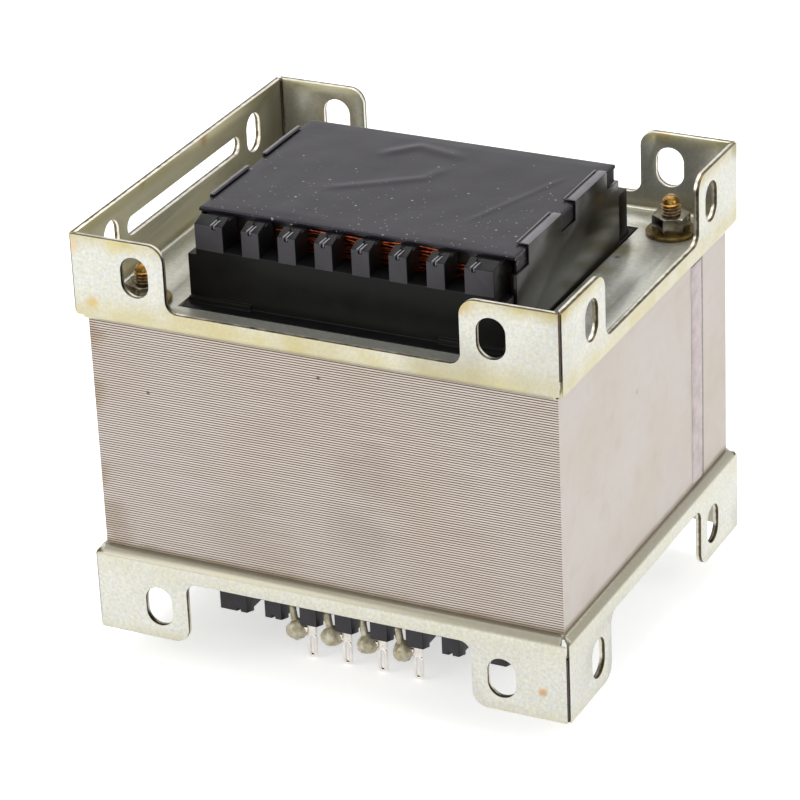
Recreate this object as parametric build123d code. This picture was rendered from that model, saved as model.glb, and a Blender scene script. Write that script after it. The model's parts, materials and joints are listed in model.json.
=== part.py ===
"""Chassis mount transformer: EI core between two pressed end frames, with solder tags.

Millimetres, +Z up. The origin is on the centre line, level with the tips of the solder tags.
The E yoke and the terminals face -Y, the bolts run along Z, and the coil's axis runs along Y.
"""
import os

from build123d import *

# Gaps and cuts that several pieces share
touch_gap = 0.05
overrun = 2.0
pick_reach = 1.0

# Core. The sheets are of the wasteless EI shape, so one outer leg sets every other width.
leg = 20.0
stack = 60.0
core_hole = 6.8

# Weld beads that tie the I sheets to the E sheets
weld_width = 4.6
weld_rise = 0.5
weld_end_gap = 1.2

# Pressed end frames
frame_sheet = 1.5
frame_overhang_x = 2.2
frame_overhang_y = 2.6
flange_height = 22.0
strip_height = 5.5
tab_width = 24.7
tab_round = 4.0
strip_round = 3.0
bend_inside = 1.0
corner_slit = 0.8
corner_slit_length = 3.8
corner_relief = 2.1
corner_relief_height = 5.0
slot_width = 7.2
slot_length = 10.2
slot_from_corner = 17.0
slot_centre_height = 13.3
side_slot_length = 56.4
side_slot_width = 4.8
opening_clearance = 0.6

# Clamping bolts
bolt_diameter = 5.0
bolt_tip_height = 11.4
bolt_tip_chamfer = 1.2
head_flats = 8.0
head_height = 3.5
nut_height = 4.0
hex_turn = 39.0
washer_diameter = 12.4
washer_thickness = 1.0
washer_sides = 16
sleeve_wall = 0.6
sleeve_sides = 12
hole_clearance = 0.1

# Bobbin
moulding_wall = 1.5
leg_clearance = 0.4
window_clearance = 0.4
core_face_gap = 0.15
flange_reach = 0.8
block_depth = 5.9
block_height = 13.3
block_reach = 0.5
comb_inset = 2.2
sill_height = 14.8
post_pitch = 9.5
posts = 8
post_width = 4.6
post_depth = 3.7
post_front_height = 21.1
post_slope_rise = 1.2
finger_height = 21.3
rear_wall_height = 20.4
rear_wall_depth = 4.0
notch_width = 0.9
notch_depth = 1.5
notch_overrun = 0.5
skirt_reach_x = 0.5
skirt_depth = 3.9
skirt_height = 1.3
rail_length = 16.3
rail_height = 1.4
rail_depth = 1.0

# Windings and their insulation
winding_gap = 0.15
primary_build = 8.0
primary_bulge = 1.0
barrier = 0.8
wrap_thickness = 0.6
coil_height = 21.3
winding_corner = 2.5
film_gap = 0.1
film_thickness = 1.2
film_overlap = 0.7
film_edge_round = 0.5
film_skirt = 4.4

# Side shrouds
shroud_gap = 0.4
shroud_thickness = 1.5
shroud_height = 18.0
shroud_end_gap = 0.3
tab_strip_length = 18.3
tab_strip_gap = 8.2
tab_strip_reach = 3.2
tab_strip_thickness = 0.5

# Solder tags, one in each of the four middle posts of the lower front comb
tags = 4
tag_reach = 9.6
tag_width = 2.4
tag_thickness = 0.8
tag_depth_in_post = 7.0
tag_clearance = 0.05
eye_width = 1.2
eye_length = 5.4
eye_rim = 0.6
lug_height = 1.4
lug_drop = 2.2
solder_diameter = 4.8
solder_chamfer = 1.2
solder_sides = 8
solder_offset = 4.05
solder_sag = 0.4
lead_diameter = 1.5
lead_sides = 8
lead_rise = 5.5

# Levels and sizes that follow from the values above
core_width = 6 * leg
core_depth = 5 * leg
window_half = 1.5 * leg
core_bottom = tag_reach + post_front_height
core_top = core_bottom + stack
core_middle = core_bottom + stack / 2
joint_y = core_depth / 2 - leg
bolt_x = core_width / 2 - leg / 2
bolt_y = core_depth / 2 - leg / 2
through = 2 * stack

frame_width = core_width + 2 * frame_overhang_x
frame_depth = core_depth + 2 * frame_overhang_y
bend_outside = bend_inside + frame_sheet

tube_x = leg + leg_clearance + moulding_wall
tube_z = stack / 2 + leg_clearance + moulding_wall
flange_outer_y = window_half - window_clearance
flange_inner_y = flange_outer_y - moulding_wall
flange_x = 2 * leg - flange_reach
block_x = 2 * leg + block_reach
comb_x = block_x - comb_inset
block_outer_y = flange_outer_y + block_depth
post_inner_y = block_outer_y - post_depth
skirt_x = block_x + skirt_reach_x
skirt_y = block_outer_y + skirt_depth

opening_x = skirt_x + opening_clearance
opening_y = skirt_y + opening_clearance

coil_y = flange_inner_y - winding_gap
wrap_x = flange_x
wrap_z = stack / 2 + coil_height
film_top = core_top + coil_height + film_gap + film_thickness
shroud_inner_x = wrap_x + shroud_gap
shroud_outer_x = shroud_inner_x + shroud_thickness
film_x = shroud_outer_x - tab_strip_thickness - touch_gap

post_bottom = core_bottom - post_front_height
tag_y = -(block_outer_y - post_depth / 2)


def block(x0, x1, y0, y1, z0, z1):
    """A box between two corners."""
    centre = Pos((x0 + x1) / 2, (y0 + y1) / 2, (z0 + z1) / 2)
    return centre * Box(x1 - x0, y1 - y0, z1 - z0)


def rounded_bar(size):
    """A bar along Y with half widths X and Z and its long edges rounded."""
    x, z, corner = size
    bar = Box(2 * x, 2 * coil_y, 2 * z)
    return fillet(bar.edges().filter_by(Axis.Y), corner) if corner else bar


def layer(inside, outside):
    """One layer of the coil, between two rounded outlines."""
    return Pos(0, 0, core_middle) * (rounded_bar(outside) - rounded_bar(inside))


def upside_down(shape):
    """The same thing on the core's other face."""
    return mirror(shape, about=Plane.XY.offset(core_middle))


def at_bolts(shape):
    """Four copies, one on each bolt."""
    return [Pos(x, y, 0) * shape for x in (-bolt_x, bolt_x) for y in (-bolt_y, bolt_y)]


def save(node, shape):
    """Write one node, as one solid or as a group of separate solids."""
    if isinstance(shape, list):
        shape = Compound(children=[part.solid() for part in shape])
    export_step(shape, os.path.join("parts", node + ".step"))


def core_stacks():
    """The E sheets with their three legs, and the I sheets that close the windows."""
    half = core_width / 2
    bolt_holes = at_bolts(Pos(0, 0, core_middle) * Cylinder(core_hole / 2, through))
    e_stack = block(-half, half, -core_depth / 2, joint_y, core_bottom, core_top)
    for side in (-1, 1):
        window = Box(leg, 2 * window_half, through)
        e_stack -= Pos(side * 1.5 * leg, joint_y - window_half, core_middle) * window
    i_stack = block(-half, half, joint_y, core_depth / 2, core_bottom, core_top)
    return e_stack - bolt_holes, i_stack - bolt_holes


def weld_bead(side):
    """A low round bead down the joint of the two stacks."""
    radius = (weld_width**2 / 4 + weld_rise**2) / (2 * weld_rise)
    length = stack - 2 * weld_end_gap
    face = side * core_width / 2
    bead = Pos(face - side * (radius - weld_rise), joint_y, core_middle) * Cylinder(radius, length)
    return bead & (Pos(face + side * weld_rise, joint_y, core_middle) * Box(2 * weld_rise, leg, stack))


def flange_gap(side_length):
    """The outline cut out between two tabs of a flange, open at the top."""
    half = side_length / 2 - tab_width
    wide = half + tab_round + overrun
    above = flange_height + overrun
    corners = [(-wide, flange_height), (-half, flange_height), (-half, strip_height)]
    corners += [(half, strip_height), (half, flange_height), (wide, flange_height)]
    outline = Sketch() + make_face(Polyline(*corners, (wide, above), (-wide, above), close=True))
    near_strip = (strip_height - pick_reach, strip_height + pick_reach)
    outline = fillet(outline.vertices().filter_by_position(Axis.Y, *near_strip), strip_round)
    near_top = (flange_height - pick_reach, flange_height + pick_reach)
    tops = outline.vertices().filter_by_position(Axis.Y, *near_top)
    return fillet(tops.filter_by_position(Axis.X, -half - pick_reach, half + pick_reach), tab_round)


def mounting_slots(side_length):
    """Two upright slots, each at the same distance from its corner."""
    slot = SlotOverall(slot_length, slot_width, rotation=90)
    out = side_length / 2 - slot_from_corner
    return Sketch() + [Pos(x, slot_centre_height) * slot for x in (-out, out)]


def end_frame():
    """One pressed frame with its plate on Z = 0 and its four flanges turned up."""
    outer = block(-frame_width / 2, frame_width / 2, -frame_depth / 2, frame_depth / 2, 0, flange_height)
    outer = fillet(outer.faces().sort_by(Axis.Z)[0].edges(), bend_outside)
    inner_x = frame_width / 2 - frame_sheet
    inner_y = frame_depth / 2 - frame_sheet
    inner = block(-inner_x, inner_x, -inner_y, inner_y, frame_sheet, 2 * flange_height)
    inner = fillet(inner.faces().sort_by(Axis.Z)[0].edges(), bend_inside)
    frame = outer - inner

    frame -= Box(2 * opening_x, 2 * opening_y, through)
    frame -= at_bolts(Cylinder(core_hole / 2, through))

    reach = frame_width
    frame -= extrude(Plane.XZ * flange_gap(frame_width), reach, both=True)
    frame -= extrude(Plane.XZ * mounting_slots(frame_width), reach, both=True)
    frame -= extrude(Plane.YZ * flange_gap(frame_depth), reach)
    frame -= extrude(Plane.YZ * mounting_slots(frame_depth), reach, both=True)
    long_slot = Pos(0, slot_centre_height) * SlotOverall(side_slot_length, side_slot_width)
    frame -= extrude(Plane.YZ * long_slot, -reach)

    for x in (-1, 1):
        for y in (-1, 1):
            corner = Pos(x * frame_width / 2, y * frame_depth / 2, flange_height)
            slit = Box(2 * corner_slit_length, corner_slit, 2 * flange_height)
            frame -= corner * Rot(0, 0, 45 * x * y) * slit
            inset = bend_outside / 2
            relief = Pos(x * (frame_width / 2 - inset), y * (frame_depth / 2 - inset), 0)
            frame -= relief * Box(corner_relief, corner_relief, 2 * corner_relief_height)
    return frame


def hexagon(flats, height):
    """A hexagon bar on Z = 0, turned as the photographed nut is."""
    return extrude(RegularPolygon(flats / 2, 6, major_radius=False, rotation=hex_turn), height)


def clamp_bolt():
    """A hexagon head bolt that enters from below, with a chamfered tip."""
    head_top = core_bottom - frame_sheet - washer_thickness
    tip = core_top + bolt_tip_height
    shank = Pos(0, 0, (tip + head_top) / 2) * Cylinder(bolt_diameter / 2, tip - head_top)
    shank = chamfer(shank.edges().sort_by(Axis.Z)[-1], bolt_tip_chamfer)
    return shank + Pos(0, 0, head_top - head_height) * hexagon(head_flats, head_height)


def bored(shape, bore):
    """The shape with a hole for the bolt."""
    return shape - Cylinder(bore / 2, through)


def post_centres():
    """The places of a comb's posts across the bobbin."""
    first = -(posts - 1) * post_pitch / 2
    return [first + number * post_pitch for number in range(posts)]


def comb():
    """The front comb on the upper face: a sill with a row of posts, and open gaps behind."""
    front = -block_outer_y
    back = -flange_inner_y
    step = -post_inner_y
    sill = core_top + sill_height
    low = core_top + post_front_height
    high = low + post_slope_rise
    finger = core_top + finger_height
    profile = [(front, sill), (front, low), (step, high), (step, finger), (back, finger), (back, sill)]
    side = make_face(Polyline(*profile, close=True))
    teeth = []
    for number, centre in enumerate(post_centres()):
        left = -comb_x if number == 0 else centre - post_width / 2
        right = comb_x if number == posts - 1 else centre + post_width / 2
        teeth.append(Pos(left, 0, 0) * extrude(Plane.YZ * side, right - left))
    return teeth


def bobbin_end(outward):
    """What stands over the core at one end: block, wall and skirt, on the upper face."""
    base = core_top + core_face_gap

    def run(y_near, y_far):
        return sorted((outward * y_near, outward * y_far))

    wall = rear_wall_height if outward > 0 else sill_height
    depth = flange_inner_y + (rear_wall_depth if outward > 0 else block_depth + moulding_wall)
    end = block(-block_x, block_x, *run(flange_outer_y, block_outer_y), base, core_top + block_height)
    end += block(-comb_x, comb_x, *run(flange_inner_y, depth), base, core_top + wall)
    end += block(-skirt_x, skirt_x, *run(flange_outer_y, skirt_y), base, core_top + skirt_height)
    for side in (-1, 1):
        near, far = sorted((side * (block_x - rail_length), side * block_x))
        top = core_top + skirt_height + rail_height
        end += block(near, far, *run(flange_outer_y, block_outer_y + rail_depth), base, top)
    return end


def bobbin():
    """The moulded former: tube round the centre leg, end flanges, blocks and combs."""
    leg_hole = Box(2 * (leg + leg_clearance), through, stack + 2 * leg_clearance)
    former = Box(2 * tube_x, 2 * flange_outer_y, 2 * tube_z)
    cheek_z = stack / 2 + block_height
    for y in (-1, 1):
        middle = y * (flange_outer_y + flange_inner_y) / 2
        former += Pos(0, middle, 0) * Box(2 * flange_x, moulding_wall, 2 * cheek_z)
    former = Pos(0, 0, core_middle) * former
    upper = bobbin_end(-1) + bobbin_end(1) + comb()
    former = former + upper + upside_down(upper)
    former -= Pos(0, 0, core_middle) * leg_hole

    with_tag = post_centres()[(posts - tags) // 2:(posts + tags) // 2]
    for centre in post_centres():
        notch = Pos(centre, tag_y, 0) * Box(notch_width, post_depth + 2 * notch_overrun, 2 * notch_depth)
        former -= Pos(0, 0, core_top + post_front_height + post_slope_rise / 2) * notch
        if centre not in with_tag:
            former -= Pos(0, 0, post_bottom - post_slope_rise / 2) * notch
    for centre in with_tag:
        pocket = Box(tag_width + 2 * tag_clearance, tag_thickness + 2 * tag_clearance, 2 * tag_depth_in_post)
        former -= Pos(centre, tag_y, post_bottom) * pocket
    return former, with_tag


def cover_film():
    """The film over the top of the coil, turned down a little along both sides."""
    low = film_top - film_thickness
    film = block(-film_x, film_x, -coil_y - film_overlap, coil_y + film_overlap, low, film_top)
    for side in (-1, 1):
        near, far = sorted((side * (wrap_x + film_gap), side * film_x))
        film += block(near, far, -coil_y, coil_y, film_top - film_skirt, low)
    return fillet(film.faces().sort_by(Axis.Z)[-1].edges(), film_edge_round)


def shroud_panel(side):
    """The upright sheet beside the coil, between the bobbin's end blocks."""
    half = flange_outer_y - shroud_end_gap
    near, far = sorted((side * shroud_inner_x, side * shroud_outer_x))
    return block(near, far, -half, half, core_top + core_face_gap, core_top + shroud_height)


def upper_shroud(side):
    """The panel with two thinner arms that rise flush with it and fold over the edge of the film."""
    shroud = shroud_panel(side)
    outside = side * shroud_outer_x
    inside = outside - side * tab_strip_thickness
    root = core_top + shroud_height
    top = film_top + touch_gap + tab_strip_thickness
    for end in (-1, 1):
        start, stop = sorted((end * tab_strip_gap / 2, end * (tab_strip_gap / 2 + tab_strip_length)))
        shroud += block(*sorted((inside, outside)), start, stop, root, top)
        lip = sorted((outside - side * tab_strip_reach, outside))
        shroud += block(*lip, start, stop, film_top + touch_gap, top)
    return shroud


def solder_tag(centre):
    """A flat tag with a long eye, and a side lug for the winding's lead."""
    length = post_bottom + tag_depth_in_post - tag_width
    outline = Rectangle(tag_width, length, align=(Align.CENTER, Align.MIN))
    outline = Pos(0, tag_width / 2) * outline + Pos(0, tag_width / 2) * Circle(tag_width / 2)
    lug_length = solder_offset - lead_diameter / 2 - touch_gap
    lug = Rectangle(lug_length, lug_height, align=(Align.MAX, Align.CENTER))
    outline += Pos(0, post_bottom - lug_drop) * lug
    outline -= Pos(0, eye_rim + eye_length / 2) * Rectangle(eye_width, eye_length)
    tag = extrude(Plane.XZ * outline, tag_thickness / 2, both=True)
    return Pos(centre, tag_y, 0) * tag


def lead(centre):
    """A winding end that leaves through the gap beside its post and turns down."""
    x = centre - solder_offset
    end = post_bottom - lug_drop
    start = end + lead_rise
    route = Polyline((x, -coil_y - touch_gap, start), (x, tag_y, start), (x, tag_y, end))
    section = Plane(origin=route @ 0, z_dir=route % 0) * RegularPolygon(lead_diameter / 2, lead_sides)
    return sweep(section, path=route, transition=Transition.RIGHT)


os.makedirs("parts", exist_ok=True)

e_stack, i_stack = core_stacks()
save("core_e_stack", e_stack)
save("core_i_stack", i_stack)
save("weld_bead_left", weld_bead(-1))
save("weld_bead_right", weld_bead(1))

frame = end_frame()
save("top_frame", Pos(0, 0, core_top) * frame)
save("bottom_frame", Pos(0, 0, core_bottom) * Rot(180, 0, 0) * frame)

washer = RegularPolygon(washer_diameter / 2, washer_sides)
washer -= RegularPolygon(bolt_diameter / 2 + hole_clearance, washer_sides, major_radius=False)
washer = extrude(washer, washer_thickness)
nut = bored(hexagon(head_flats, nut_height), bolt_diameter)
sleeve_bore = bolt_diameter / 2 + hole_clearance
sleeve = RegularPolygon(sleeve_bore + sleeve_wall, sleeve_sides)
sleeve -= RegularPolygon(sleeve_bore, sleeve_sides, major_radius=False)
sleeve = Pos(0, 0, core_bottom) * extrude(sleeve, stack)
save("clamp_bolts", at_bolts(clamp_bolt()))
save("bolt_sleeves", at_bolts(sleeve))
save("washers_upper", at_bolts(Pos(0, 0, core_top + frame_sheet) * washer))
save("washers_lower", at_bolts(Pos(0, 0, core_bottom - frame_sheet - washer_thickness) * washer))
save("nuts", at_bolts(Pos(0, 0, core_top + frame_sheet + washer_thickness) * nut))

former, with_tag = bobbin()
save("bobbin", former)

start_x = tube_x + winding_gap
start_z = tube_z + winding_gap
primary_x = start_x + primary_build
primary_z = start_z + primary_build + primary_bulge
on_tube = (start_x, start_z, 0)
on_primary = (primary_x, primary_z, 0)
on_barrier = (primary_x + barrier, primary_z + barrier, 0)
on_secondary = (wrap_x - wrap_thickness, wrap_z - wrap_thickness, winding_corner)
on_wrap = (wrap_x, wrap_z, winding_corner + wrap_thickness)
save("primary_winding", layer(on_tube, on_primary))
save("winding_barrier", layer(on_primary, on_barrier))
save("secondary_winding", layer(on_barrier, on_secondary))
save("coil_wrap", layer(on_secondary, on_wrap))
save("cover_film", cover_film())

for name, side in (("left", -1), ("right", 1)):
    save("shroud_upper_" + name, upper_shroud(side))
    save("shroud_lower_" + name, upside_down(shroud_panel(side)))

bead = extrude(RegularPolygon(solder_diameter / 2, solder_sides), solder_diameter / 2, both=True)
rims = bead.faces().filter_by(Axis.Z).edges()
bead = chamfer(rims, solder_chamfer)
for number, centre in enumerate(with_tag, 1):
    tag = solder_tag(centre)
    wire = lead(centre)
    drop = Pos(centre - solder_offset, tag_y, post_bottom - lug_drop - solder_sag) * bead
    save("solder_tag_%d" % number, tag)
    save("lead_%d" % number, wire)
    save("solder_joint_%d" % number, drop - tag - wire)
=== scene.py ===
"""The looks of a chassis mount transformer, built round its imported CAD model."""

import json
import math
import random

import bmesh
import bpy
from mathutils import Matrix, Vector, noise


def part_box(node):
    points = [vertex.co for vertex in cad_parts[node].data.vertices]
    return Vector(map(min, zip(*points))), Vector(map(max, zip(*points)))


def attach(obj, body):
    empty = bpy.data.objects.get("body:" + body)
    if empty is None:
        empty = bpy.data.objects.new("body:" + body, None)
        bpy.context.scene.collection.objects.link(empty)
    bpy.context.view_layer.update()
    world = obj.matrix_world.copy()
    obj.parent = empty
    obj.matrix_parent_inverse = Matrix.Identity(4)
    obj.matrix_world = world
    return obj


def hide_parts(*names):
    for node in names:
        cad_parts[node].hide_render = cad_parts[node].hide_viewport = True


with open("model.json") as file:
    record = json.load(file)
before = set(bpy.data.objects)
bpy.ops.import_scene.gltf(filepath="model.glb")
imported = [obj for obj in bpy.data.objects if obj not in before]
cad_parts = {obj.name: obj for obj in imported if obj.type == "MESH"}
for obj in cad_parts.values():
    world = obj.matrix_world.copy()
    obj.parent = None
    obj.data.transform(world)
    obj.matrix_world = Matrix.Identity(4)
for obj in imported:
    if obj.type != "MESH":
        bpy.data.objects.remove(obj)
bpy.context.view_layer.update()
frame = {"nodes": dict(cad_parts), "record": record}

MM = 0.001
UP = Vector((0, 0, 1))
chance = random.Random(12)

# Places of the CAD model's pieces, in metres
core_low, core_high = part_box("core_e_stack")
core_bottom = core_low.z
core_top = core_high.z
core_middle = (core_bottom + core_top) / 2
core_front = core_low.y
core_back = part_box("core_i_stack")[1].y
core_side = core_high.x
joint_y = core_high.y
film_low, film_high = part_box("cover_film")
washer_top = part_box("washers_upper")[1].z
nut_low, nut_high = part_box("nuts")
bolt_low, bolt_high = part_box("clamp_bolts")
tag_low, tag_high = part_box("solder_tag_1")
tag_y = (tag_low.y + tag_high.y) / 2

# Sizes that the CAD model gives no box for
leg = 20 * MM
sheet_count = 95
sheet_pitch = (core_top - core_bottom) / sheet_count
joint_seam_y = 34.7 * MM
sheared_depth = 1.5 * MM
frame_x = 62.2 * MM
frame_y = 52.6 * MM
bolt_x = 50 * MM
bolt_y = 40 * MM
bolt_places = [(x, y) for x in (-bolt_x, bolt_x) for y in (-bolt_y, bolt_y)]
post_pitch = 9.5 * MM
post_places = [(step - 3.5) * post_pitch for step in range(8)]
tag_places = post_places[2:6]
lead_offset = 4.05 * MM


def colour(text):
    """An sRGB hex value as linear red, green, blue and alpha."""
    channels = [int(text[start:start + 2], 16) / 255 for start in (1, 3, 5)]
    return [c / 12.92 if c <= 0.04045 else ((c + 0.055) / 1.055) ** 2.4 for c in channels] + [1.0]


def add(tree, kind, sockets=(), stops=(), **settings):
    """One node with its settings and links. The sockets are filled in their order, or by name or number
    from a dictionary, each with a value, a hex colour, an output or a node whose main output is meant.
    The stops of a colour ramp are pairs of place and hex colour."""
    node = tree.nodes.new("ShaderNode" + kind)
    for name, value in settings.items():
        setattr(node, name, value)
    elements = node.color_ramp.elements if stops else []
    while len(elements) < len(stops):
        elements.new(0.5)
    for element, (spot, text) in zip(elements, stops):
        element.position = spot
        element.color = colour(text)
    for socket, value in sockets.items() if isinstance(sockets, dict) else enumerate(sockets):
        if isinstance(value, bpy.types.Node):
            value = value.outputs[2 if value.bl_idname == "ShaderNodeMix" else 0]
        if isinstance(value, bpy.types.NodeSocket):
            tree.links.new(value, node.inputs[socket])
        else:
            node.inputs[socket].default_value = colour(value) if isinstance(value, str) else value
    return node


def cleared(thing):
    """The node tree of a material or a world, emptied."""
    thing.use_nodes = True
    thing.node_tree.nodes.clear()
    return thing.node_tree


def new_material(name):
    """A material, its empty tree and its Object coordinates."""
    made = bpy.data.materials.new(name)
    tree = cleared(made)
    return made, tree, add(tree, "TexCoord").outputs["Object"]


def shaded(made, tone, sheen, relief, values):
    """The material with a Principled shader that takes a tone, a roughness, a relief and other values.
    The relief is what gives its height, its strength and its depth."""
    tree = made.node_tree
    height, strength, depth = relief
    bump = add(tree, "Bump", {"Height": height, "Strength": strength, "Distance": depth})
    shader = add(tree, "BsdfPrincipled", {"Base Color": tone, "Roughness": sheen, "Normal": bump, **values})
    add(tree, "OutputMaterial", (shader,))
    return made


def layered(tree, tone, coats, how="MIX"):
    """A tone under coats of colour, each given as how much it covers and its own tone."""
    for amount, coat in coats:
        tone = add(tree, "Mix", {0: amount, 6: tone, 7: coat}, data_type="RGBA", blend_type=how)
    return tone


def blot(tree, here, centre, radius, strength, ragged=0.5):
    """How much a stain round a point in mm covers: its strength at its middle, 0 past its ragged edge."""
    radius *= MM
    away = add(tree, "VectorMath", (here, Vector(centre) * MM), operation="DISTANCE").outputs["Value"]
    lumps = add(tree, "TexNoise", {"Vector": here, "Scale": 1 / (0.9 * radius), "Detail": 4})
    shift = add(tree, "Math", (lumps, 2 * ragged * radius, -ragged * radius), operation="MULTIPLY_ADD")
    reach = add(tree, "Math", (away, shift), operation="ADD")
    return add(tree, "MapRange", (reach, radius, 0.4 * radius, 0, strength))


# Where varnish has run or pooled on the frames: place in mm, radius in mm, strength, colour
varnish_marks = [
    ((-57.0, -52.6, 95.9), 2.0, 0.55, "#C9A33E"),
    ((-50.5, -52.6, 110.8), 2.6, 0.35, "#CDBE7C"),
    ((-61.5, -52.6, 109.4), 2.4, 0.45, "#D6B070"),
    ((55.6, -52.6, 15.8), 1.4, 0.7, "#C08A34"),
    ((50.0, 40.0, 92.2), 8.6, 0.55, "#97803F"),
    ((50.0, -40.0, 92.2), 7.8, 0.5, "#97803F"),
    ((-50.0, -40.0, 92.2), 7.8, 0.5, "#97803F"),
    ((-50.0, 40.0, 92.2), 8.2, 0.5, "#97803F"),
    ((43.5, 22.0, 92.2), 0.9, 0.7, "#5E4420"),
    ((42.6, 26.0, 92.2), 5.0, 0.6, "#8C8648"),
    ((42.6, 14.0, 92.2), 4.0, 0.5, "#8C8648"),
    ((42.6, 3.0, 92.2), 3.6, 0.45, "#8C8648"),
    ((-61.5, 10.0, 112.7), 3.0, 0.7, "#A8763C"),
    ((-61.5, -20.0, 112.7), 2.2, 0.6, "#B98B58"),
    ((60.6, 51.0, 111.5), 4.0, 0.5, "#6F6B3C"),
    ((44.0, 52.0, 112.9), 2.2, 0.8, "#CB9B3A"),
    ((38.0, -52.6, 112.0), 4.6, 0.6, "#B99C4E"),
    ((-30.0, -52.6, 94.6), 13.0, 0.4, "#B9A964"),
    ((0.0, -52.6, 94.6), 13.0, 0.4, "#B4A566"),
    ((34.0, -52.6, 96.0), 14.0, 0.35, "#8F8872"),
    ((56.0, -52.6, 98.0), 13.0, 0.25, "#9A9788"),
]


# Zinc-plated sheet steel, passivated. Fine flakes of the plating show as a soft mottle under a
# millimetre wide. The impregnating varnish has left it yellow along the edges and in clouds.
def zinc_plated_sheet():
    fleck_size, tint_size, cloud_size = 0.85 * MM, 1.6 * MM, 9 * MM
    # Heights over the core's middle
    plate_top, bend_height, strip_low, strip_top = 31.6 * MM, 32.6 * MM, 33.5 * MM, 38.5 * MM
    tab_low, tab_stain, tab_top = 40 * MM, 48.4 * MM, 51.8 * MM
    made, tree, here = new_material("zinc_plated_sheet")
    fleck = add(tree, "TexNoise", {"Vector": here, "Scale": 1 / fleck_size, "Detail": 3, "Roughness": 0.65})
    tint = add(tree, "TexNoise", {"Vector": here, "Scale": 1 / tint_size, "Detail": 2})
    tone = layered(tree, "#D9DAD6", [(add(tree, "MapRange", (tint, 0.35, 0.65)), "#DDDCCF")])
    shade = add(tree, "ValToRGB", (fleck,), ((0.28, "#E0E0DE"), (0.72, "#FFFFFF")))
    tone = layered(tree, tone, [(1, shade)], "MULTIPLY")

    spot = add(tree, "SeparateXYZ", (here,))
    normal = add(tree, "NewGeometry").outputs["Normal"]
    facing = add(tree, "SeparateXYZ", (normal,))
    height = add(tree, "Math", (spot.outputs["Z"], core_middle), operation="SUBTRACT")
    away = add(tree, "Math", (height,), operation="ABSOLUTE")
    cloudy = add(tree, "TexNoise", {"Vector": here, "Scale": 1 / cloud_size, "Detail": 4})
    cloud = add(tree, "MapRange", (cloudy, 0.34, 0.62, 0.4, 1))

    # Yellow tops of the tabs and yellow strips, strongest on the upper frame
    upper = add(tree, "MapRange", (height, -10 * MM, 10 * MM, 0.3, 1))
    tilt = add(tree, "Math", (facing.outputs["Z"],), operation="ABSOLUTE")
    wall = add(tree, "MapRange", (tilt, 0.9, 0.5, 0, 0.62))
    brim = add(tree, "MapRange", (away, tab_stain, tab_top, 0, 0.95))
    lip = add(tree, "MapRange", (away, strip_top, strip_low, 0, wall))
    edge = add(tree, "Math", (brim, lip), operation="MAXIMUM")
    aged = add(tree, "Math", (cloud, upper), operation="MULTIPLY")
    yellow = add(tree, "Math", (edge, aged), operation="MULTIPLY")

    # Painted shade: faces turned up are painted a little darker, and so is the lower frame's bend, which
    # would otherwise mirror the lamps.
    flat = add(tree, "MapRange", (facing.outputs["Z"], 0.75, 0.98, 0, 0.12))
    lower = add(tree, "MapRange", (height, 0, -10 * MM, 0, 0.75))
    bend = add(tree, "MapRange", (facing.outputs["Z"], 0.15, 0.5, 0, lower))

    # The insides of the flanges are stained, with a brown line in the bend
    outwards = add(tree, "VectorMath", (here, normal), operation="DOT_PRODUCT").outputs["Value"]
    inward = add(tree, "MapRange", (outwards, 0, -20 * MM))
    raised = add(tree, "MapRange", (away, plate_top, 36 * MM, 0, 0.3))
    inner = add(tree, "Math", (inward, raised), operation="MULTIPLY")
    climb = add(tree, "MapRange", (away, tab_low, 51 * MM))
    inner_tone = layered(tree, "#CECBB8", [(climb, "#B0A87E")])
    from_bend = add(tree, "Math", (away, bend_height), operation="SUBTRACT")
    off_bend = add(tree, "Math", (from_bend,), operation="ABSOLUTE")
    fold = add(tree, "MapRange", (off_bend, 1.1 * MM, 0.3 * MM, 0, inward))
    blotchy = add(tree, "Math", (cloud, 0.4), operation="MULTIPLY")
    fold = add(tree, "Math", (fold, blotchy), operation="MULTIPLY")

    # The left flange's inside is coated thickest, so it mirrors least. Where it faces the lamp it is also
    # painted paler, as painted light, and painted shade darkens it towards its rear corner.
    lit = add(tree, "MapRange", (facing.outputs["X"], 0.5, 0.9, 0, inward))
    painted_light_coat = add(tree, "Math", (lit, 0.6), operation="MULTIPLY")
    rear_shade_ramp = add(tree, "MapRange", (spot.outputs["Y"], 14 * MM, 46 * MM, 0, 0.85))
    painted_rear_shade = add(tree, "Math", (lit, rear_shade_ramp), operation="MULTIPLY")
    mirroring = add(tree, "MapRange", (lit, 0, 1, 0.72, 0.3))

    # The coats of #A9AB9F and #8F8873 are painted shade
    coats = [(yellow, "#BDAF6C"), (flat, "#A9AB9F"), (bend, "#8F8873"), (inner, inner_tone),
             (painted_light_coat, "#D3CA9C"), (painted_rear_shade, "#4F4C3C"), (fold, "#6E5230")]
    coats += [(blot(tree, here, centre, radius, strength), text)
              for centre, radius, strength, text in varnish_marks]
    sheen = add(tree, "MapRange", (fleck, 0.2, 0.8, 0.30, 0.40))
    return shaded(made, layered(tree, tone, coats), sheen, (fleck, 0.12, 0.03 * MM), {"Metallic": mirroring})


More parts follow.
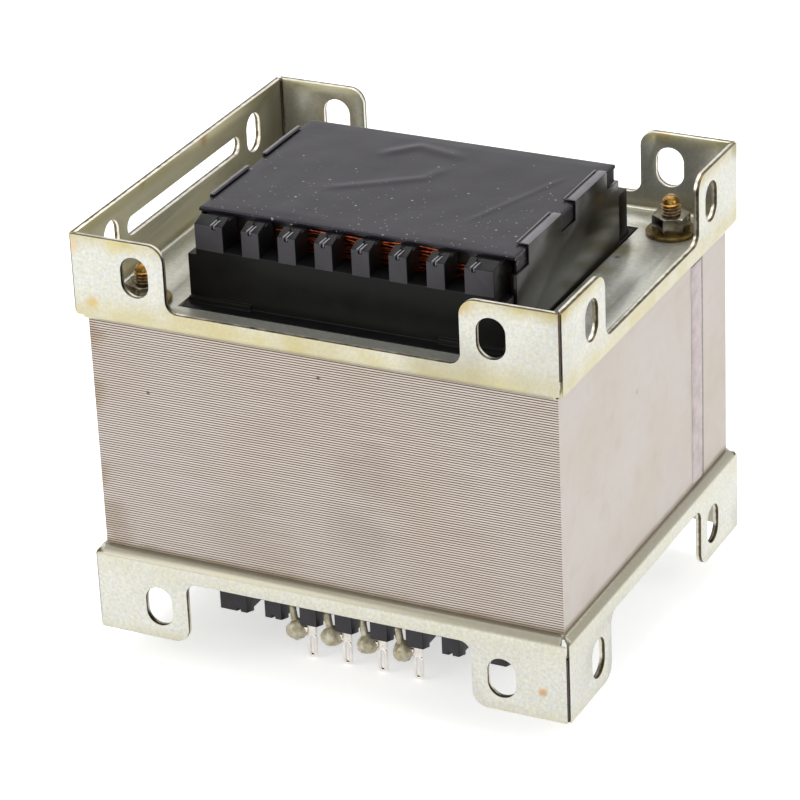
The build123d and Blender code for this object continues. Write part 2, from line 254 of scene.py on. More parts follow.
# The sheared edges of the same sheet: dark with varnish beside the outer face, bright where the shear
# has polished them
def sheared_edge():
    made, tree, here = new_material("sheared_edge_of_plated_sheet")
    spot = add(tree, "SeparateXYZ", (add(tree, "VectorMath", (here,), operation="ABSOLUTE"),))
    inside_x = add(tree, "Math", (frame_x, spot.outputs["X"]), operation="SUBTRACT")
    inside_y = add(tree, "Math", (frame_y, spot.outputs["Y"]), operation="SUBTRACT")
    inside = add(tree, "Math", (inside_x, inside_y), operation="MINIMUM")
    wear = add(tree, "TexNoise", {"Vector": here, "Scale": 1 / (2.2 * MM), "Detail": 4})
    sway = add(tree, "Math", (wear, 0.5 * MM, -0.25 * MM), operation="MULTIPLY_ADD")
    depth = add(tree, "Math", (inside, sway), operation="ADD")
    burr = add(tree, "MapRange", (depth, 0.45 * sheared_depth, 0.55 * sheared_depth))
    dark = add(tree, "ValToRGB", (wear,), ((0.35, "#4A4231"), (0.65, "#6E6349")))
    light = add(tree, "ValToRGB", (wear,), ((0.35, "#D9D3C2"), (0.65, "#EDE9DE")))
    sheen = add(tree, "MapRange", (wear, 0, 1, 0.22, 0.4))
    return shaded(made, layered(tree, dark, [(burr, light)]), sheen, (wear, 0.15, 0.05 * MM),
                  {"Metallic": 0.92})


# Broad stains on the faces of the core: place in mm, radius in mm, strength, colour
core_stains = [
    ((-60.5, -50.0, 86.0), 5.0, 0.4, "#C49F66"),
    ((-61.0, -50.0, 70.0), 6.0, 0.4, "#C2A878"),
    ((-61.0, -50.0, 50.0), 5.0, 0.4, "#C2A878"),
    ((-58.0, -50.0, 37.0), 7.0, 0.35, "#B9A680"),
    ((-20.0, -50.0, 40.0), 14.0, 0.12, "#B0A38C"),
    ((8.0, -50.0, 47.0), 11.0, 0.14, "#A3947A"),
    ((12.0, -50.0, 63.0), 9.0, 0.12, "#A3947A"),
]
# Small dark specks on them, in the same form
core_specks = [
    ((-45.4, -50.0, 73.4), 0.6, 0.9, "#54463A"),
    ((0.0, -50.0, 85.3), 0.6, 0.9, "#54463A"),
    ((60.0, -5.7, 72.1), 1.0, 0.5, "#A79C98"),
]


# Electrical steel, cold rolled, its sheets stacked on each other. The front and back show every sheet
# as a line, brown where the varnish lies between two sheets. The sides are dressed almost smooth.
def laminated_steel():
    made, tree, here = new_material("laminated_electrical_steel")
    # A wave texture of scale 1 has 20 bands in 2 pi units
    bands_per_unit = 20 / (2 * math.pi)
    from_bottom = add(tree, "Mapping", {"Vector": here, "Location": (0, 0, -core_bottom)})
    lines = add(tree, "TexWave", {"Vector": from_bottom, "Scale": 1 / (bands_per_unit * sheet_pitch)},
                wave_type="BANDS", bands_direction="Z", wave_profile="SIN")
    facing = add(tree, "SeparateXYZ", (add(tree, "NewGeometry").outputs["Normal"],))
    endwise = add(tree, "Math", (facing.outputs["X"],), operation="ABSOLUTE")
    front = add(tree, "MapRange", (endwise, 0.8, 0.3))
    along = add(tree, "Mapping", {"Vector": here, "Scale": (40, 40, 1 / sheet_pitch)})
    sheet_by_sheet = add(tree, "TexNoise", {"Vector": along, "Scale": 1, "Detail": 2})
    sheets = add(tree, "ValToRGB", (sheet_by_sheet,), ((0.3, "#D0C6BE"), (0.5, "#D9CFC8"), (0.7, "#E0D8D2")))
    smooth = add(tree, "TexNoise", {"Vector": here, "Scale": 1 / (7 * MM), "Detail": 5})
    dressed = add(tree, "ValToRGB", (smooth,), ((0.3, "#C6BEB7"), (0.5, "#CBC4BE"), (0.7, "#C9C1BC")))
    broad = add(tree, "TexNoise", {"Vector": here, "Scale": 1 / (30 * MM), "Detail": 3})
    cast = add(tree, "ValToRGB", (broad,), ((0.3, "#FBF7F0"), (0.6, "#FFFFFF")))
    gaps = add(tree, "ValToRGB", (lines,), ((0.0, "#726355"), (0.2, "#8C7D71"), (0.5, "#FFFFFF")))
    lined = add(tree, "MapRange", (front, 0, 1, 0.02, 1))
    tone = layered(tree, dressed, [(front, sheets)])
    tone = layered(tree, tone, [(1, cast), (lined, gaps)], "MULTIPLY")

    spot = add(tree, "SeparateXYZ", (here,))
    runs = add(tree, "TexNoise", {"Vector": here, "Scale": 1 / (6 * MM), "Detail": 4})
    level = add(tree, "Math", (runs, -1.2 * MM, spot.outputs["Z"]), operation="MULTIPLY_ADD")
    pooled = add(tree, "MapRange", (level, core_bottom + 1.2 * MM, core_bottom - 0.6 * MM, 0, 0.8))
    from_joint = add(tree, "Math", (spot.outputs["Y"], joint_seam_y), operation="SUBTRACT")
    off_joint = add(tree, "Math", (from_joint,), operation="ABSOLUTE")
    side = add(tree, "MapRange", (front, 1, 0, 0, 0.8))
    seam = add(tree, "MapRange", (off_joint, 0.85 * MM, 0.3 * MM, 0, side))
    tone = layered(tree, tone, [(pooled, "#7D6A4C"), (seam, "#776864")])
    for marks, how in ((core_stains, "MULTIPLY"), (core_specks, "MIX")):
        tone = layered(tree, tone, [(blot(tree, here, centre, radius, strength, 0.7), text)
                                    for centre, radius, strength, text in marks], how)
    sheen = add(tree, "MapRange", (sheet_by_sheet, 0, 1, 0.42, 0.6))
    pits = add(tree, "TexNoise", {"Vector": here, "Scale": 1 / (0.9 * MM), "Detail": 3})
    return shaded(made, tone, sheen, (pits, 0.08, 0.03 * MM), {"Metallic": 0.3})


# Glass-filled nylon, injection moulded. Near black, with a soft sheen and a faint grain.
def moulded_nylon(name, dark, light, gloss, smooth=0.28, rough=0.44):
    made, tree, here = new_material(name)
    flow = add(tree, "TexNoise", {"Vector": here, "Scale": 1 / (6 * MM), "Detail": 4})
    grain = add(tree, "TexNoise", {"Vector": here, "Scale": 1 / (0.5 * MM), "Detail": 2})
    tone = add(tree, "ValToRGB", (flow,), ((0.3, dark), (0.7, light)))
    sheen = add(tree, "MapRange", (flow, 0, 1, smooth, rough))
    return shaded(made, tone, sheen, (grain, 0.12, 0.04 * MM), {"Specular IOR Level": gloss})


# Polyester film under varnish. Dark violet grey and satin, with dust caught in the varnish.
def covering_film():
    made, tree, here = new_material("polyester_film")
    clouds = add(tree, "TexNoise", {"Vector": here, "Scale": 1 / (14 * MM), "Detail": 5})
    tone = add(tree, "ValToRGB", (clouds,), ((0.3, "#171519"), (0.7, "#211E24")))
    # The dust lies mostly near the front, in patches
    spot = add(tree, "SeparateXYZ", (here,))
    clean = add(tree, "MapRange", (spot.outputs["Y"], 18 * MM, -22 * MM, 1, 0.62))
    patches = add(tree, "TexNoise", {"Vector": here, "Scale": 1 / (12 * MM), "Detail": 2})
    patchy = add(tree, "Math", (patches, -0.5, 0.25), operation="MULTIPLY_ADD")
    thin = add(tree, "Math", (clean, patchy), operation="ADD")
    crumbs = add(tree, "TexNoise", {"Vector": here, "Scale": 1 / (0.5 * MM), "Detail": 2})
    push = (0.3 * MM,) * 3
    bent = add(tree, "VectorMath", (crumbs.outputs["Color"], push, here), operation="MULTIPLY_ADD")
    for size, reach in ((1.05 * MM, 0.19), (2.6 * MM, 0.14)):
        dust = add(tree, "TexVoronoi", {"Vector": bent, "Scale": 1 / size})
        pick = add(tree, "SeparateColor", (dust.outputs["Color"],))
        some = add(tree, "Math", (pick, thin), operation="GREATER_THAN")
        near = add(tree, "MapRange", (dust.outputs["Distance"], reach, 0.4 * reach, 0, 0.62))
        speck = add(tree, "Math", (near, some), operation="MULTIPLY")
        tone = layered(tree, tone, [(speck, "#C9C5C6")])
    sheen = add(tree, "MapRange", (clouds, 0, 1, 0.2, 0.36))
    waves = add(tree, "TexNoise", {"Vector": here, "Scale": 1 / (4 * MM), "Detail": 5})
    return shaded(made, tone, sheen, (waves, 0.3, 0.12 * MM),
                  {"Specular IOR Level": 0.29, "Specular Tint": "#F4EAFA"})


# Insulating sheet, calendered and folded. Black and glossier than the moulding; a paler copy of it, painted
# light, serves the folded strips.
def insulating_sheet(name="insulating_sheet", dark="#100F0E", light="#1A1815"):
    made, tree, here = new_material(name)
    smear = add(tree, "TexNoise", {"Vector": here, "Scale": 1 / (9 * MM), "Detail": 4})
    tone = add(tree, "ValToRGB", (smear,), ((0.3, dark), (0.7, light)))
    sheen = add(tree, "MapRange", (smear, 0, 1, 0.16, 0.32))
    return shaded(made, tone, sheen, (smear, 0.3, 0.2 * MM), {"Specular IOR Level": 0.5})


def mottled(name, dark, light, roughness, grain, bumpiness=0.2, metallic=1.0):
    """A finish whose colour wanders between two tones in grains of a given size."""
    made, tree, here = new_material(name)
    lumps = add(tree, "TexNoise", {"Vector": here, "Scale": 1 / grain, "Detail": 4})
    tone = add(tree, "ValToRGB", (lumps,), ((0.35, dark), (0.65, light)))
    sheen = add(tree, "MapRange", (lumps, 0, 1, 0.7 * roughness, 1.3 * roughness))
    return shaded(made, tone, sheen, (lumps, bumpiness, 0.1 * MM), {"Metallic": metallic})


# Zinc-plated bolt steel. Each thread is brown with old varnish and the domed tip carries a drop of it.
def bolt_steel():
    made, tree, here = new_material("varnished_bolt_steel")
    height = add(tree, "SeparateXYZ", (here,)).outputs["Z"]
    drip = add(tree, "TexNoise", {"Vector": here, "Scale": 1 / (1.5 * MM), "Detail": 4})
    film_edge = add(tree, "Math", (drip, 1.2 * MM, -0.6 * MM), operation="MULTIPLY_ADD")
    level = add(tree, "Math", (height, film_edge), operation="ADD")
    dome = add(tree, "MapRange", (level, bolt_high.z - 3.2 * MM, bolt_high.z - 2.4 * MM))
    grit = add(tree, "TexNoise", {"Vector": here, "Scale": 1 / (0.9 * MM), "Detail": 4})
    brown = add(tree, "ValToRGB", (grit,), ((0.35, "#5A452C"), (0.65, "#A58F6C")))
    beads = add(tree, "TexNoise", {"Vector": here, "Scale": 1 / (1.6 * MM), "Detail": 4})
    amber = add(tree, "ValToRGB", (beads,), ((0.35, "#7A5A28"), (0.65, "#C09448")))
    sheen = add(tree, "MapRange", (dome, 0, 1, 0.34, 0.2))
    return shaded(made, layered(tree, brown, [(dome, amber)]), sheen, (grit, 0.25, 0.08 * MM),
                  {"Metallic": 0.75})


nylon = moulded_nylon("moulded_nylon", "#0B0B0B", "#121212", 0.16)
# The front faces of the comb's posts have the matt texture of a spark-eroded mould, and a paler grey that is
# painted light, as they catch more light than the block
matt_nylon_painted_light = moulded_nylon("spark_textured_nylon_painted_lighter", "#373539", "#434146", 0.35, 0.5, 0.65)
# The small ribs in the notches of the comb are polished by the tool that shaped them; their pale grey tone
# is a painted highlight
glossy_nylon_painted_highlight = moulded_nylon("polished_nylon_painted_paler", "#3A393D", "#5A595F", 1.0, 0.08, 0.16)
# The folded strips take a paler copy of the sheet: painted light for the sheen along their tops
sheet_painted_paler = insulating_sheet("insulating_sheet_painted_paler", "#5F5B61", "#77737A")
# Impregnating varnish that has filled the open corners: dark brown and glossy
corner_varnish = mottled("dried_varnish", "#2E2019", "#4A352A", 0.2, 2.0 * MM, 0.3, 0.0)
finishes = {
    "zinc_plated_sheet": zinc_plated_sheet(),
    "core_steel": laminated_steel(),
    # Weld metal, left as laid: pale, with a lilac tint
    "weld_steel": mottled("weld_metal", "#A79A9A", "#BDB1B1", 0.36, 3.0 * MM, 0.15, 0.5),
    "bolt_steel": bolt_steel(),
    # Bright nuts, dark bronze where the varnish has pooled on them
    "nut_steel": mottled("varnished_nut_steel", "#5C554A", "#A09A8C", 0.22, 2.4 * MM, 0.12),
    # Washers under a thick amber coat of varnish
    "washer_steel": mottled("varnished_washer_steel", "#54421D", "#7D6831", 0.3, 2.4 * MM, 0.3, 0.6),
    "black_moulding": nylon,
    "black_sheet": insulating_sheet(),
    "cover_film": covering_film(),
    # Wound fibre sleeves and paper between the windings: brown and matt
    "insulation": mottled("brown_fibre", "#6B4A26", "#8A6636", 0.7, 1.0 * MM, 0.2, 0.0),
    # Enamelled copper wire: red brown and glossy
    "copper": mottled("enamelled_copper", "#42190D", "#984420", 0.24, 1.6 * MM, 0.1, 0.8),
    # Hot-tinned brass: bright, with soft pools in the tin
    "tinned_brass": mottled("tinned_brass", "#E2DAD2", "#F6F2EC", 0.24, 1.8 * MM, 0.05),
    # Tin solder under flux and varnish: pale tan and glossy, with darker pits
    "solder": mottled("fluxed_solder", "#BDB08A", "#EFE8D2", 0.18, 1.6 * MM, 0.5, 0.1),
}
edge_finish = sheared_edge()
slot_of = {part["node"]: part["material_slot"] for part in frame["record"]["subparts"]}
for node, thing in frame["nodes"].items():
    thing.data.materials.clear()
    thing.data.materials.append(finishes[slot_of[node]])
# The coil's outer turns are painted nearly black where the comb shows them: painted shade in the comb's gaps
winding_painted_dark = mottled("winding_painted_shade", "#150E0B", "#2A1710", 0.3, 2.0 * MM, 0.3, 0.0)
frame["nodes"]["secondary_winding"].data.materials[0] = winding_painted_dark


def place(name, shape, slot, stands_for=(), finish=None, smooth_angle=35, second=None):
    """A bmesh as a piece of the transformer, riding on its one body."""
    mesh = bpy.data.meshes.new(name)
    shape.to_mesh(mesh)
    shape.free()
    mesh.materials.append(finish or finishes[slot])
    if second:
        mesh.materials.append(second)
    mesh.shade_smooth()
    mesh.set_sharp_from_angle(angle=math.radians(smooth_angle))
    piece = bpy.data.objects.new(name, mesh)
    bpy.context.scene.collection.objects.link(piece)
    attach(piece, "root")
    if stands_for:
        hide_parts(*stands_for)


def joined(shapes):
    """Several bmeshes as one."""
    whole = bmesh.new()
    for shape in shapes:
        mesh = bpy.data.meshes.new("part_of_piece")
        shape.to_mesh(mesh)
        shape.free()
        whole.from_mesh(mesh)
        bpy.data.meshes.remove(mesh)
    return whole


def copies(shape, places):
    """One bmesh with a copy of the shape at each place, which has two or three coordinates."""
    moved = []
    for spot in places:
        copy = shape.copy()
        bmesh.ops.translate(copy, verts=copy.verts, vec=Vector((*spot, 0))[:3])
        moved.append(copy)
    shape.free()
    return joined(moved)


def rounded(shape, parts, width, segments=2, affect="EDGES"):
    """Rounds some edges or corners of a shape. One segment cuts them off flat."""
    bmesh.ops.bevel(shape, geom=parts, offset=width, segments=segments, profile=0.5, affect=affect,
                    material=-1)


def divided(shape, axis, cuts):
    """Cuts the long edges that run along an axis into short ones."""
    long_way = [edge for edge in shape.edges
                if abs(edge.verts[0].co[axis] - edge.verts[1].co[axis]) > MM]
    bmesh.ops.subdivide_edges(shape, edges=long_way, cuts=cuts, use_grid_fill=True)


def brick(low, high, soft=0.0, segments=2):
    """A block between two corners, with its edges sharp or rounded."""
    shape = bmesh.new()
    low, high = Vector(low), Vector(high)
    bmesh.ops.create_cube(shape, size=1.0)
    bmesh.ops.scale(shape, verts=shape.verts, vec=high - low)
    bmesh.ops.translate(shape, verts=shape.verts, vec=(low + high) / 2)
    if soft:
        rounded(shape, shape.edges[:], soft, segments)
    return shape


def merged_copy(node):
    """A CAD node's mesh with its loose triangles merged into flat faces."""
    shape = bmesh.new()
    shape.from_mesh(frame["nodes"][node].data)
    bmesh.ops.remove_doubles(shape, verts=shape.verts, dist=0.001 * MM)
    bmesh.ops.dissolve_limit(shape, angle_limit=math.radians(0.5), verts=shape.verts, edges=shape.edges)
    return shape


def soften(shape, width):
    """Rounds the hard edges of a shape, as a press or a mould leaves them."""
    hard = [edge for edge in shape.edges
            if len(edge.link_faces) == 2 and edge.calc_face_angle() > math.radians(32)]
    rounded(shape, hard, width)


def end_frames():
    """The two pressed frames, with rounded edges and the sheared ones in bare steel."""
    bent_up = 3.2 * MM
    for node, name in (("top_frame", "pressed_top_frame"), ("bottom_frame", "pressed_bottom_frame")):
        shape = merged_copy(node)
        low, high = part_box(node)
        outer = high.z if node == "top_frame" else low.z
        plate = core_top if node == "top_frame" else core_bottom
        for face in shape.faces:
            centre = face.calc_center_median()
            on_x = abs(centre.x) > high.x - sheared_depth
            on_y = abs(centre.y) > high.y - sheared_depth
            on_flange = (on_x or on_y) and abs(centre.z - plate) > bent_up
            across = abs(face.normal.x if on_x else face.normal.y)
            if on_flange and across < 0.3 or abs(centre.z - outer) < 0.1 * MM:
                face.material_index = 1
        soften(shape, 0.12 * MM)
        place(name, shape, "zinc_plated_sheet", [node], second=edge_finish)


def varnish_in_corners():
    """The varnish that fills the open mitred corners of both frames."""
    half_width, half_depth, length = 0.33 * MM, 0.75 * MM, 16.4 * MM
    inset = 1.02 * MM
    from_core = 5.3 * MM
    strips = []
    for side_x, side_y, level in [(x, y, z) for x in (-1, 1) for y in (-1, 1) for z in (-1, 1)]:
        strip = brick((-half_width, -half_depth, 0), (half_width, half_depth, length), 0.1 * MM, 1)
        divided(strip, 2, 24)
        for vert in strip.verts:
            vert.co.y *= 1 - 0.2 * abs(noise.noise(Vector((side_x, side_y, vert.co.z / (4 * MM)))))
        turn = Matrix.Rotation(-side_x * side_y * math.pi / 4, 3, "Z")
        bmesh.ops.rotate(strip, verts=strip.verts, matrix=turn)
        foot = core_top + from_core if level > 0 else core_bottom - from_core - length
        corner = (side_x * (frame_x - inset), side_y * (frame_y - inset), foot)
        bmesh.ops.translate(strip, verts=strip.verts, vec=corner)
        bmesh.ops.recalc_face_normals(strip, faces=strip.faces)
        strips.append(strip)
    place("corner_varnish", joined(strips), "insulation", finish=corner_varnish, smooth_angle=60)


def core_sheets():
    """The sheets of the core. The shear has rounded their edges along the front and the back."""
    side, front, back = core_side, core_front, core_back
    e_outline = [(-side, front), (side, front), (side, joint_y), (side - leg, joint_y),
                 (side - leg, front + leg), (leg, front + leg), (leg, joint_y), (-leg, joint_y),
                 (-leg, front + leg), (leg - side, front + leg), (leg - side, joint_y), (-side, joint_y)]
    i_outline = [(-side, joint_y), (side, joint_y), (side, back), (-side, back)]
    near = 0.01 * MM
    for name, node, outline, face_y in (("e_sheets", "core_e_stack", e_outline, front),
                                        ("i_sheets", "core_i_stack", i_outline, back)):
        sheet = bmesh.new()
        face = sheet.faces.new([sheet.verts.new((x, y, core_bottom)) for x, y in outline])
        raised = bmesh.ops.extrude_face_region(sheet, geom=[face])
        top = [item for item in raised["geom"] if isinstance(item, bmesh.types.BMVert)]
        bmesh.ops.translate(sheet, verts=top, vec=(0, 0, sheet_pitch))
        bmesh.ops.recalc_face_normals(sheet, faces=sheet.faces)
        shown = [edge for edge in sheet.edges if all(abs(vert.co.y - face_y) < near for vert in edge.verts)
                 and abs(edge.verts[0].co.z - edge.verts[1].co.z) < near]
        rounded(sheet, shown, 0.1 * MM, 1)
        outwards = 1 if face_y > 0 else -1
        places = [(0, chance.uniform(-0.02, 0.0) * MM * outwards, index * sheet_pitch)
                  for index in range(sheet_count)]
        place(name, copies(sheet, places), "core_steel", [node], smooth_angle=20)


def weld_beads():
    """The beads across the joint of the two stacks, laid by hand and a little uneven."""
    half_width = 3.2 * MM
    middle = joint_y + 1.0 * MM
    steps = 64
    for side, node in ((-1, "weld_bead_left"), (1, "weld_bead_right")):
        low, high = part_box(node)
        rise = high.x - low.x
        shape = bmesh.new()
        arc = []
        for turn in [math.radians(-88 + 22 * k) for k in range(9)]:
            x = side * (core_side + rise * math.cos(turn) ** 0.7)
            arc.append(shape.verts.new((x, middle + half_width * math.sin(turn), low.z)))
        edges = [shape.edges.new(pair) for pair in zip(arc, arc[1:])]
        for step in range(steps):
            out = bmesh.ops.extrude_edge_only(shape, edges=edges)["geom"]
            edges = [item for item in out if isinstance(item, bmesh.types.BMEdge)
                     and all(vert in out for vert in item.verts)]
            arc = [item for item in out if isinstance(item, bmesh.types.BMVert)]
            bmesh.ops.translate(shape, verts=arc, vec=(0, 0, (high.z - low.z) / steps))
        # The bead sways, swells and has a ripple every two millimetres
        for vert in shape.verts:
            up = vert.co.z
            sway = 0.2 * MM * noise.noise(Vector((0, side, up / (9 * MM))))
            swell = 1 + 0.05 * noise.noise(Vector((3, side, up / (3 * MM))))
            proud = abs(vert.co.x) - core_side
            vert.co.y = middle + (vert.co.y - middle) * swell + sway
            vert.co.x = side * (core_side + proud * (0.8 + 0.2 * math.cos(up / (0.32 * MM))))
        for level in (low.z, high.z):
            rim = [edge for edge in shape.edges
                   if all(abs(vert.co.z - level) < 0.01 * MM for vert in edge.verts)]
            ring = {vert for edge in rim for vert in edge.verts}
            shape.faces.new(sorted(ring, key=lambda vert: vert.co.y))
        bmesh.ops.recalc_face_normals(shape, faces=shape.faces)
        place(node + "_laid", shape, "weld_steel", [node], smooth_angle=60)


def turned(profile, steps=40):
    """A solid of revolution round Z from points of radius and height."""
    shape = bmesh.new()
    corners = [shape.verts.new((radius, 0, height)) for radius, height in profile]
    edges = [shape.edges.new(pair) for pair in zip(corners, corners[1:])]
    bmesh.ops.spin(shape, geom=corners + edges, cent=(0, 0, 0), axis=UP, angle=2 * math.pi, steps=steps,
                   use_merge=True)
    bmesh.ops.remove_doubles(shape, verts=shape.verts, dist=0.002 * MM)
    bmesh.ops.recalc_face_normals(shape, faces=shape.faces)
    return shape


def hexagon_bar(flats, low, high, corner_cut, turn):
    """A hexagon bar turned by some degrees, with its corners cut off a little at both ends."""
    shape = bmesh.new()
    reach = flats / 2 / math.cos(math.pi / 6)
    spot = Matrix.Translation((0, 0, (low + high) / 2)) @ Matrix.Rotation(math.radians(turn), 4, "Z")
    bmesh.ops.create_cone(shape, cap_ends=True, segments=6, radius1=reach, radius2=reach, depth=high - low,
                          matrix=spot)
    rounded(shape, shape.verts[:], corner_cut, 1, "VERTICES")
    rounded(shape, shape.edges[:], 0.12 * MM)
    return shape


def clamp_bolts():
    """Hexagon head bolts with a rolled thread above the washers and a domed tip."""
    pitch, crest, root = 0.8 * MM, 2.45 * MM, 2.05 * MM
    head_flats, head_height = 8 * MM, 3.5 * MM
    around = 28
    # The dome's radius as a share of the crest's, and its height over the neck in mm
    dome = ((0.86, 0.1), (0.87, 0.5), (0.82, 1.1), (0.68, 1.7), (0.42, 2.2))
    head_top = bolt_low.z + head_height
    neck = bolt_high.z - 2.4 * MM
    shank = turned([(0, head_top), (crest, head_top), (crest, washer_top), (root, washer_top), (root, neck)]
                   + [(share * crest, neck + up * MM) for share, up in dome] + [(0, bolt_high.z)], around)
    # One turn of the thread in section: radius, and height in turns
    ridge = [shank.verts.new((radius, 0, washer_top + height * pitch))
             for radius, height in ((root, 0.1), (crest, 0.45), (crest, 0.6), (root, 0.95))]
    edges = [shank.edges.new(pair) for pair in zip(ridge, ridge[1:])]
    turns = int((neck - washer_top) / pitch)
    bmesh.ops.spin(shank, geom=ridge + edges, cent=(0, 0, 0), axis=UP, dvec=(0, 0, pitch / around),
                   angle=2 * math.pi * turns, steps=around * turns, use_merge=False)
    head = hexagon_bar(head_flats, bolt_low.z, head_top, 0.45 * MM, 22)
    place("threaded_bolts", copies(joined([shank, head]), bolt_places), "bolt_steel", ["clamp_bolts"])


def washers_and_nuts():
    """Round washers and chamfered nuts on the bolts."""
    radius, hole, edge = 6.2 * MM, 2.6 * MM, 0.25 * MM
    for node, name in (("washers_upper", "round_washers_upper"), ("washers_lower", "round_washers_lower")):
        low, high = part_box(node)
        ring = turned([(hole, low.z), (radius - edge, low.z), (radius, low.z + edge),
                       (radius, high.z - edge), (radius - edge, high.z), (hole + edge, high.z),
                       (hole, high.z - edge), (hole, low.z)], 48)
        place(name, copies(ring, bolt_places), "washer_steel", [node])
    nut_flats = 8.2 * MM
    nuts = []
    for (x, y), turn in zip(bolt_places, (12, 47, 33, 58)):
        nut = hexagon_bar(nut_flats, nut_low.z, nut_high.z, 0.6 * MM, turn)
        bmesh.ops.translate(nut, verts=nut.verts, vec=(x, y, 0))
        nuts.append(nut)
    place("chamfered_nuts", joined(nuts), "nut_steel", ["nuts"])


def bobbin_and_ribs():
    """The moulded bobbin, and the pair of polished ribs in the notch of each upper post."""
    shape = merged_copy("bobbin")
    sill = 44.8 * MM
    for level in (core_middle - sill, core_middle + sill):
        bmesh.ops.bisect_plane(shape, geom=shape.verts[:] + shape.edges[:] + shape.faces[:],
                               dist=0.01 * MM, plane_co=(0, 0, level), plane_no=UP)
    # The front faces of the posts, past the sills of both combs, which take the paler nylon of painted light
    for face in shape.faces:
        centre = face.calc_center_median()
        if abs(centre.z - core_middle) > sill and centre.y < -34 * MM and face.normal.y < -0.8:
            face.material_index = 1
    soften(shape, 0.18 * MM)
    place("moulded_bobbin", shape, "black_moulding", ["bobbin"], second=matt_nylon_painted_light)

    rib_top = core_top + 21.7 * MM
    rib_width, rib_height = 0.46 * MM, 1.1 * MM
    rib_front, rib_middle, rib_back = -35.45 * MM, -34.4 * MM, -33.3 * MM
    ribs = []
    for centre in post_places:
        for left in (centre - 0.62 * MM, centre + 0.22 * MM):
            rib = brick((left, rib_front, rib_top - rib_height), (left + rib_width, rib_back, rib_top),
                        0.17 * MM, 3)
            # Each rib runs a little to the right and upwards as it goes back
            for vert in rib.verts:
                vert.co.x += 0.34 * (vert.co.y - rib_middle)
                vert.co.z += 0.33 * (vert.co.y - rib_middle)
            ribs.append(rib)
    place("comb_ribs", joined(ribs), "black_moulding", finish=glossy_nylon_painted_highlight, smooth_angle=60)


# Creases of the film, as both ends, width and height in mm: a long one and its short end, two behind
# it and a scored line towards the right rear corner
creases = [
    ((-16.8, -8.3), (1.9, 4.6), 1.5, 0.20),
    ((1.9, 4.6), (4.5, 11.5), 1.6, 0.16),
    ((-13.6, 14.8), (-7.4, 21.9), 1.7, 0.34),
    ((-7.4, 21.9), (4.0, 19.0), 1.8, 0.26),
    ((22.3, -13.6), (32.7, 15.2), 0.7, 0.14),
]


def film_relief(x, y):
    """How far the film lies above or below its even surface at a place on top of the coil."""
    along, across = x / MM, y / MM
    relief = 0.16 * noise.noise(Vector((along / 21, across / 17, 0.4)))
    relief += 0.07 * noise.noise(Vector((along / 6.5, across / 9, 5.1)))
    # Every crease fades out over this many mm on both sides of its ends
    fade = 2.5
    for (ax, ay), (bx, by), width, height in creases:
        length = math.hypot(bx - ax, by - ay)
        run = ((along - ax) * (bx - ax) + (across - ay) * (by - ay)) / length
        off = ((along - ax) * (by - ay) - (across - ay) * (bx - ax)) / length
        starts = min(1.0, max(0.0, (run + fade) / (2 * fade)))
        ends = min(1.0, max(0.0, (length + fade - run) / (2 * fade)))
        relief += height * starts * ends * math.exp(-(off / width) ** 2)
    return relief * MM


def cover_film():
    """The film over the coil: a thin sheet with soft creases, turned down along both sides."""
    edge = 0.45 * MM
    calm = 3 * MM
    half_x = film_high.x - edge
    half_y = film_high.y - edge
    shape = bmesh.new()
    bmesh.ops.create_grid(shape, x_segments=110, y_segments=80, size=1.0)
    bmesh.ops.scale(shape, verts=shape.verts, vec=(half_x, half_y, 1.0))
    bmesh.ops.translate(shape, verts=shape.verts, vec=(0, 0, film_high.z - 0.12 * MM))
    for vert in shape.verts:
        inward = min(1.0, (half_x - abs(vert.co.x)) / calm, (half_y - abs(vert.co.y)) / calm)
        vert.co.z += film_relief(vert.co.x, vert.co.y) * inward - 0.1 * MM * (1 - inward)
    rim = [item for item in shape.edges if len(item.link_faces) == 1]
    # The edge turns down in steps outwards and downwards, in mm
    for out, down in ((0.20, 0.05), (0.17, 0.14), (0.08, 0.22), (0.0, 0.6)):
        grown = bmesh.ops.extrude_edge_only(shape, edges=rim)["geom"]
        rim = [item for item in grown if isinstance(item, bmesh.types.BMEdge)]
        verts = [item for item in grown if isinstance(item, bmesh.types.BMVert)]
        reach_x = max(vert.co.x for vert in verts)
        reach_y = max(vert.co.y for vert in verts)
        wider = ((reach_x + out * MM) / reach_x, (reach_y + out * MM) / reach_y, 1.0)
        bmesh.ops.scale(shape, verts=verts, vec=wider)
        bmesh.ops.translate(shape, verts=verts, vec=(0, 0, -down * MM))
    bmesh.ops.edgeloop_fill(shape, edges=rim)
    bmesh.ops.recalc_face_normals(shape, faces=shape.faces)

    skirt_thickness, skirt_half_length = 0.5 * MM, 27.9 * MM
    skirts = []
    for side in (-1, 1):
        near, far = sorted((side * (film_high.x - skirt_thickness), side * film_high.x))
        skirt = brick((near, -skirt_half_length, film_low.z),
                      (far, skirt_half_length, film_high.z - 0.9 * MM))
        divided(skirt, 1, 60)
        for vert in skirt.verts:
            ripple = noise.noise(Vector((side, vert.co.y / (5 * MM), vert.co.z / (3 * MM))))
            vert.co.x -= side * 0.16 * MM * abs(ripple)
        bmesh.ops.recalc_face_normals(skirt, faces=skirt.faces)
        skirts.append(skirt)
    place("draped_film", joined([shape] + skirts), "cover_film", ["cover_film"], smooth_angle=50)


